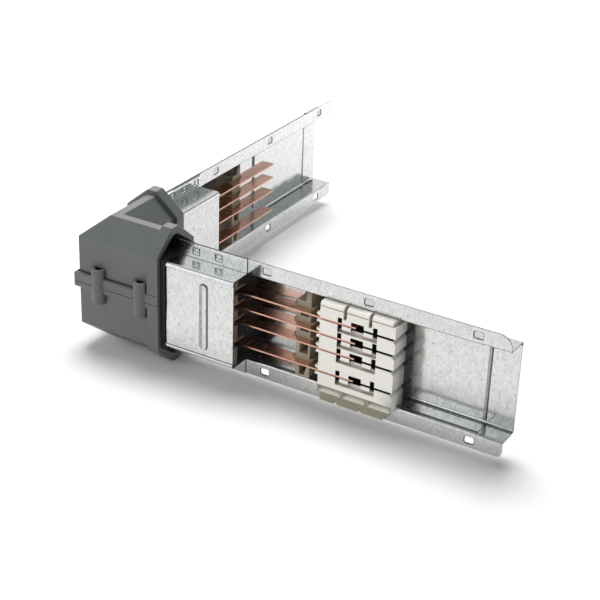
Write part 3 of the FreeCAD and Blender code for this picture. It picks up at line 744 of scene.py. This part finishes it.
class ELBOW_OT_joint_block(Operator):
    """Finish the joint block, with near-black painted deep shade inside and behind its front, which also
    stands for the carriers of its contacts
    """

    bl_idname = "elbow.joint_block"
    bl_label = "Joint block"

    def execute(self, context):
        sizes, colours = context.scene.elbow_sizes, context.scene.elbow_colours
        white = moulded_plastic(
            "joint_block_polyamide_white", colours.block, grain=1.1, roughness=0.42, shade=0.96
        )
        dark = moulded_plastic(
            "carrier_black_and_painted_deep_shade", colours.deep_black, grain=1.1, roughness=0.6, shade=0.8
        )
        yellowed_and_shaded = moulded_plastic(
            "joint_block_yellowed_and_painted_shade", colours.lip, grain=1.1, roughness=0.45, shade=0.9
        )
        # Painted shade: a darker tone towards the back of the block
        start, full = (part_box("joint_block")[0].y + depth for depth in BLOCK_SHADE)
        tinted(white, "Object", "Y", low=start, high=full, most=0.8, tint=colours.block_shade)
        shape = softened("joint_block", "a", sizes.block_edge)
        low, high = (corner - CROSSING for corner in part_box("joint_block"))
        bar_top = max(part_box(node)[1].z for node in BARS) - CROSSING.z
        # Near-black painted deep shade behind this depth and on the deep faces inside the windows and gates,
        # also standing for the carriers of the contacts
        carrier = low.y + sizes.block_face
        # Painted shade with a yellower tone on the skirt and lip below this height; up-facing ledges and the
        # end side stay white
        skirt = low.z + sizes.skirt_height
        cut_faces(shape, list(shape.faces), (0, carrier, 0), FRONT)
        cut_faces(shape, list(shape.faces), (0, 0, skirt), UP)
        for face in shape.faces:
            middle = face.calc_center_median()
            inside = low.y + BLOCK_FRONT_WALL < middle.y < high.y - BLOCK_BACK_WALL
            beside = low.x + BLOCK_SIDE_WALL < middle.x < high.x - BLOCK_SIDE_WALL
            level = low.z + BLOCK_FLOOR < middle.z < bar_top + BLOCK_HEADROOM
            behind = middle.y > carrier
            ledge, end_side = face.normal.z >= 0.3, face.normal.x >= 0.7
            if behind or inside and beside and level:
                face.material_index = 1
            elif middle.z < skirt and not ledge and not end_side:
                face.material_index = 2
        finish_piece(shape, "joint_block", "a", "joint_plastic", white, dark, yellowed_and_shaded)
        return {"FINISHED"}


class ELBOW_OT_corner_housing(Operator):
    """Finish the two mouldings of the corner housing"""

    bl_idname = "elbow.corner_housing"
    bl_label = "Corner housing"

    def execute(self, context):
        sizes, colours = context.scene.elbow_sizes, context.scene.elbow_colours
        grey = moulded_plastic(
            "housing_polycarbonate_grey", colours.housing,
            grain=0.7, roughness=0.42, shade=0.88, fold_shade=0.85,
        )
        # Painted light: a paler colour on the level tops, where the light from above falls
        tinted(grey, "Normal", "Z", low=0.85, high=1.0, most=0.6, tint=colours.painted_top_light)
        for node in ("corner_housing_upper", "corner_housing_lower"):
            shape = copied(node, "a")
            if node == "corner_housing_lower":
                round_feet(shape, sizes.foot_edge)
            soften_edges(shape, sizes.housing_edge, segments=3)
            finish_piece(shape, node, "a", "housing_plastic", grey)
        return {"FINISHED"}


class ELBOW_OT_seals(Operator):
    """Squeeze the sealing strips out of the collars"""

    bl_idname = "elbow.seals"
    bl_label = "Seals"

    def execute(self, context):
        sizes = context.scene.elbow_sizes
        rubber = seal_rubber(context.scene.elbow_colours)
        for arm, sides in (("a", ("front", "back")), ("b", ("inner", "outer"))):
            for side in sides:
                node = f"arm_{arm}_seal_{side}"
                shape = softened(node, arm, sizes.seal_edge)
                bmesh.ops.triangulate(shape, faces=shape.faces)
                bmesh.ops.subdivide_edges(shape, edges=shape.edges, cuts=SEAL_CUTS, use_grid_fill=True)
                tip = max(vert.co.x for vert in shape.verts)
                for vert in shape.verts:
                    if tip - vert.co.x < sizes.seal_lip:
                        lump = noise.noise(vert.co * per_metre(SEAL_LUMP)) + SEAL_BIAS
                        vert.co.x -= sizes.seal_wander * max(0, lump)
                finish_piece(shape, node, arm, "seal_rubber", rubber)
        return {"FINISHED"}


class ELBOW_OT_stage(Operator):
    """Set the floor, the light and the camera"""

    bl_idname = "elbow.stage"
    bl_label = "Stage"

    def execute(self, context):
        scene = context.scene
        scene.view_settings.view_transform = "Standard"
        self.add_floor(scene)
        self.add_world(scene)
        self.add_lamps(scene)
        self.add_camera(scene)
        return {"FINISHED"}

    def add_floor(self, scene):
        shape = bmesh.new()
        bmesh.ops.create_grid(shape, x_segments=1, y_segments=1, size=PAPER_HALF)
        mesh = bpy.data.meshes.new("floor")
        shape.to_mesh(mesh)
        shape.free()
        floor = bpy.data.objects.new("floor", mesh)
        scene.collection.objects.link(floor)
        # White studio paper: it takes the object's shadow, and further out it runs up into white
        material, tree, shader, place = new_material("studio_paper")
        shader.inputs["Base Color"].default_value = scene.elbow_colours.floor
        shader.inputs["Roughness"].default_value = 0.9
        away = add_node(
            tree, "ShaderNodeVectorMath", {0: place, 1: PAPER_SPOT}, operation="DISTANCE"
        ).outputs["Value"]
        near, far = PAPER_RING
        lift = add_node(
            tree, "ShaderNodeMapRange",
            {"Value": away, "From Min": near, "From Max": far, "To Min": 0.02, "To Max": 1.0},
            interpolation_type="SMOOTHSTEP",
        ).outputs["Result"]
        shown = add_node(
            tree, "ShaderNodeMath", {0: self.is_seen(tree), 1: lift}, operation="MULTIPLY"
        ).outputs["Value"]
        shader.inputs["Emission Color"].default_value = (1, 1, 1, 1)
        tree.links.new(shown, shader.inputs["Emission Strength"])
        mesh.materials.append(material)

    def is_seen(self, tree):
        """One for rays of the camera and for mirrored or refracted ones, nought for light itself."""
        path = add_node(tree, "ShaderNodeLightPath")
        seen = path.outputs["Is Camera Ray"]
        for name in ("Is Glossy Ray", "Is Transmission Ray"):
            seen = add_node(
                tree, "ShaderNodeMath", {0: seen, 1: path.outputs[name]}, operation="MAXIMUM"
            ).outputs["Value"]
        return seen

    def add_world(self, scene):
        colours = scene.elbow_colours
        world = bpy.data.worlds.new("studio")
        world.use_nodes = True
        tree = world.node_tree
        tree.nodes.clear()
        way = add_node(tree, "ShaderNodeTexCoord").outputs["Generated"]
        height = add_node(tree, "ShaderNodeSeparateXYZ", {0: way}).outputs["Z"]
        climb = add_node(
            tree, "ShaderNodeMapRange", {"Value": height, "From Min": 0.18, "From Max": 0.4},
            interpolation_type="SMOOTHSTEP",
        ).outputs["Result"]
        # The room is dim above the paper, but for the white wall behind the object on the left
        wall = add_node(
            tree, "ShaderNodeVectorMath", {0: way, 1: WALL_WAY}, operation="DOT_PRODUCT"
        ).outputs["Value"]
        beside = add_node(
            tree, "ShaderNodeMapRange",
            {"Value": wall, "From Min": 0.35, "From Max": 0.6, "To Min": 1.0, "To Max": 0.0},
        ).outputs["Result"]
        dim = add_node(
            tree, "ShaderNodeMath", {0: climb, 1: beside}, operation="MULTIPLY"
        ).outputs["Value"]
        backdrop = add_node(
            tree, "ShaderNodeMix",
            {"Factor": dim, MIX_A: (1, 1, 1, 1), MIX_B: colours.room}, data_type="RGBA",
        ).outputs[MIX_RESULT]
        # A broad soft light from the front left
        front = add_node(
            tree, "ShaderNodeVectorMath", {0: way, 1: SOFT_LIGHT_WAY}, operation="DOT_PRODUCT"
        ).outputs["Value"]
        glow = add_node(
            tree, "ShaderNodeMapRange",
            {"Value": front, "From Min": 0.2, "From Max": 0.9, "To Min": 0.05, "To Max": 1.1},
            interpolation_type="SMOOTHSTEP",
        ).outputs["Result"]
        soft = add_node(tree, "ShaderNodeBackground", {"Color": colours.soft_light, "Strength": glow})
        seen = add_node(tree, "ShaderNodeBackground", {"Color": backdrop, "Strength": 1.0})
        mixed = add_node(
            tree, "ShaderNodeMixShader",
            {0: self.is_seen(tree), 1: soft.outputs[0], 2: seen.outputs[0]},
        )
        add_node(tree, "ShaderNodeOutputWorld", {"Surface": mixed.outputs[0]})
        scene.world = world

    def add_lamps(self, scene):
        for name, place, side, watts, mirrored in LAMPS:
            lamp = bpy.data.lights.new(name, "AREA")
            lamp.shape, lamp.size, lamp.energy = "SQUARE", side, watts
            holder = bpy.data.objects.new(name, lamp)
            holder.location = place
            holder.rotation_euler = (LAMP_TARGET - holder.location).to_track_quat("-Z", "Y").to_euler()
            holder.visible_glossy = mirrored
            scene.collection.objects.link(holder)

    def add_camera(self, scene):
        lens = bpy.data.cameras.new("photo_camera")
        lens.sensor_width, lens.lens = CAMERA_SENSOR, CAMERA_LENS
        camera = bpy.data.objects.new("photo_camera", lens)
        camera.matrix_world = (
            Matrix.Translation(CROSSING + CAMERA_PLACE)
            @ Matrix.Rotation(CAMERA_HEADING, 4, "Z")
            @ Matrix.Rotation(math.pi / 2 - CAMERA_TILT, 4, "X")
            @ Matrix.Rotation(CAMERA_ROLL, 4, "Z")
        )
        scene.collection.objects.link(camera)
        scene.camera = camera


OPERATORS = (
    ELBOW_OT_half_shells,
    ELBOW_OT_bars,
    ELBOW_OT_carriers,
    ELBOW_OT_joint_block,
    ELBOW_OT_corner_housing,
    ELBOW_OT_seals,
    ELBOW_OT_stage,
)


class ELBOW_PT_panel(Panel):
    """The finishing steps in order"""

    bl_label = "Elbow"
    bl_space_type = "VIEW_3D"
    bl_region_type = "UI"
    bl_category = "Elbow"

    def draw(self, context):
        for operator in OPERATORS:
            self.layout.operator(operator.bl_idname)


CLASSES = (ElbowSizes, ElbowColours, *OPERATORS, ELBOW_PT_panel)


def register():
    for item in CLASSES:
        bpy.utils.register_class(item)
    bpy.types.Scene.elbow_sizes = PointerProperty(type=ElbowSizes)
    bpy.types.Scene.elbow_colours = PointerProperty(type=ElbowColours)


def unregister():
    del bpy.types.Scene.elbow_sizes
    del bpy.types.Scene.elbow_colours
    for item in reversed(CLASSES):
        bpy.utils.unregister_class(item)


def main():
    register()
    bpy.ops.elbow.half_shells()
    bpy.ops.elbow.bars()
    bpy.ops.elbow.carriers()
    bpy.ops.elbow.joint_block()
    bpy.ops.elbow.corner_housing()
    bpy.ops.elbow.seals()
    bpy.ops.elbow.stage()


if __name__ == "__main__":
    main()
